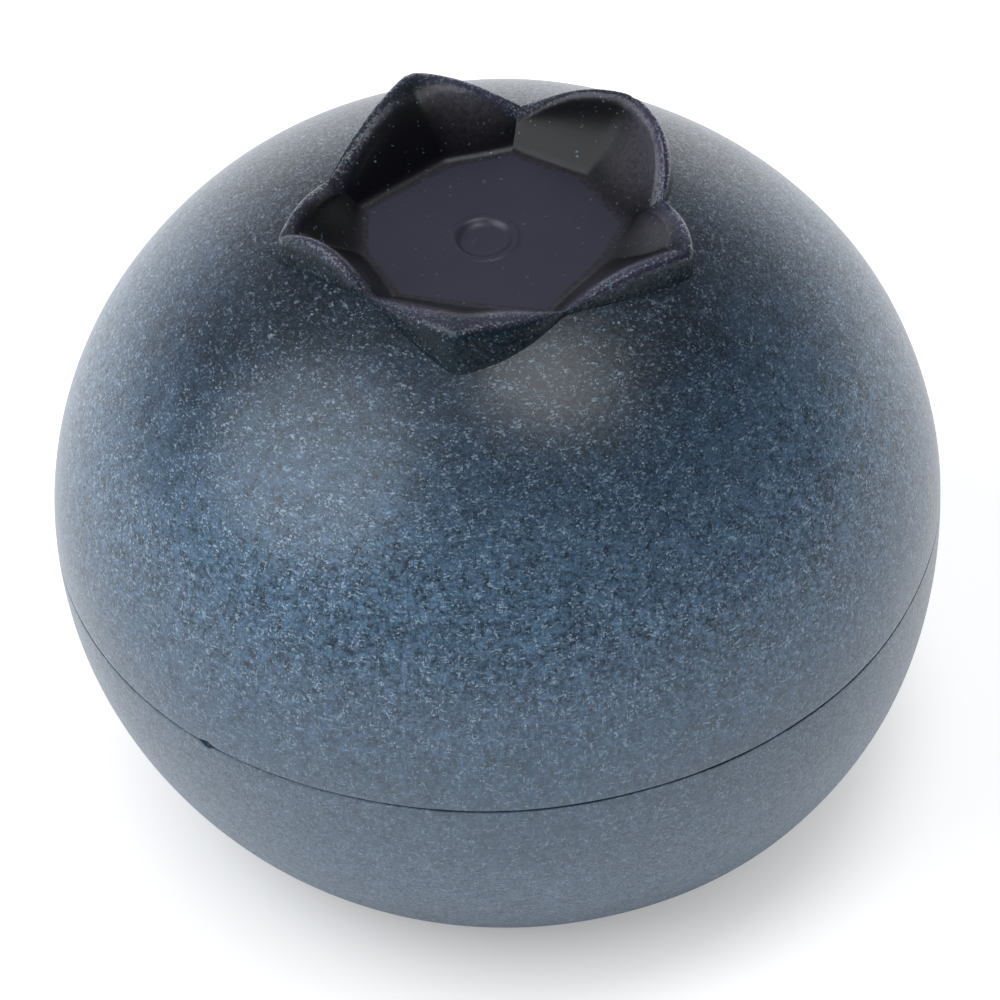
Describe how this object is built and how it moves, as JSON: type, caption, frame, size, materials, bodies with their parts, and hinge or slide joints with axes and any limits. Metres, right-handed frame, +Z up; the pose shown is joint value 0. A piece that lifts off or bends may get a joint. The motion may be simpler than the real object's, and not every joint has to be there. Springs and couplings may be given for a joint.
{
  "type": "stress ball",
  "caption": "Berry-shaped squeezable foam stress ball with a flat base, a moulded parting line and a lobed crown round a flat recessed floor.",
  "frame": {"origin": "on the crown's axis, level with the flat base", "axes": "+Z up through the crown; -Y towards the front of the ball, +X to its right"},
  "size_m": [0.07, 0.07, 0.0575],
  "materials": {
    "pearl_blue": "satin",
    "pearl_grey": "satin",
    "flash_grey": "matte",
    "raw_foam": "matte",
    "floor_purple": "satin",
    "crown_black": "satin"
  },
  "bodies": {
    "base": {"lower_skin": "pearl_grey", "parting_flash": "flash_grey", "foam_core": "raw_foam", "upper_skin": "pearl_blue"},
    "crown": {"crown_floor": "floor_purple", "fill_plug": "floor_purple", "crown_collar": "crown_black"},
    "sepal_right": {"sepal_right": "crown_black"},
    "sepal_back_right": {"sepal_back_right": "crown_black"},
    "sepal_back_left": {"sepal_back_left": "crown_black"},
    "sepal_left": {"sepal_left": "crown_black"},
    "sepal_front": {"sepal_front": "crown_black"}
  },
  "joints": [
    {"name": "squeeze", "type": "slide", "parent": "base", "child": "crown", "axis": [0, 0, -1], "range_m": [0, 0.015], "stiffness_N_per_m": 2000, "deforming": ["upper_skin", "lower_skin", "parting_flash", "foam_core"]},
    {"name": "bend_right", "type": "hinge", "parent": "crown", "child": "sepal_right", "pos_m": [0.00931, -0.00516, 0.0544], "axis": [-0.4848, -0.8746, 0], "range_deg": [0, 25], "stiffness_Nm_per_rad": 0.02},
    {"name": "bend_back_right", "type": "hinge", "parent": "crown", "child": "sepal_back_right", "pos_m": [0.00795, 0.00679, 0.0544], "axis": [0.6494, -0.7604, 0], "range_deg": [0, 25], "stiffness_Nm_per_rad": 0.02},
    {"name": "bend_back_left", "type": "hinge", "parent": "crown", "child": "sepal_back_left", "pos_m": [-0.00438, 0.00878, 0.0544], "axis": [0.8949, 0.4462, 0], "range_deg": [0, 25], "stiffness_Nm_per_rad": 0.02},
    {"name": "bend_left", "type": "hinge", "parent": "crown", "child": "sepal_left", "pos_m": [-0.01059, -0.00187, 0.0544], "axis": [-0.1736, 0.9848, 0], "range_deg": [0, 25], "stiffness_Nm_per_rad": 0.02},
    {"name": "bend_front", "type": "hinge", "parent": "crown", "child": "sepal_front", "pos_m": [-0.00178, -0.01012, 0.0544], "axis": [-0.9848, 0.1736, 0], "range_deg": [0, 25], "stiffness_Nm_per_rad": 0.02}
  ]
}
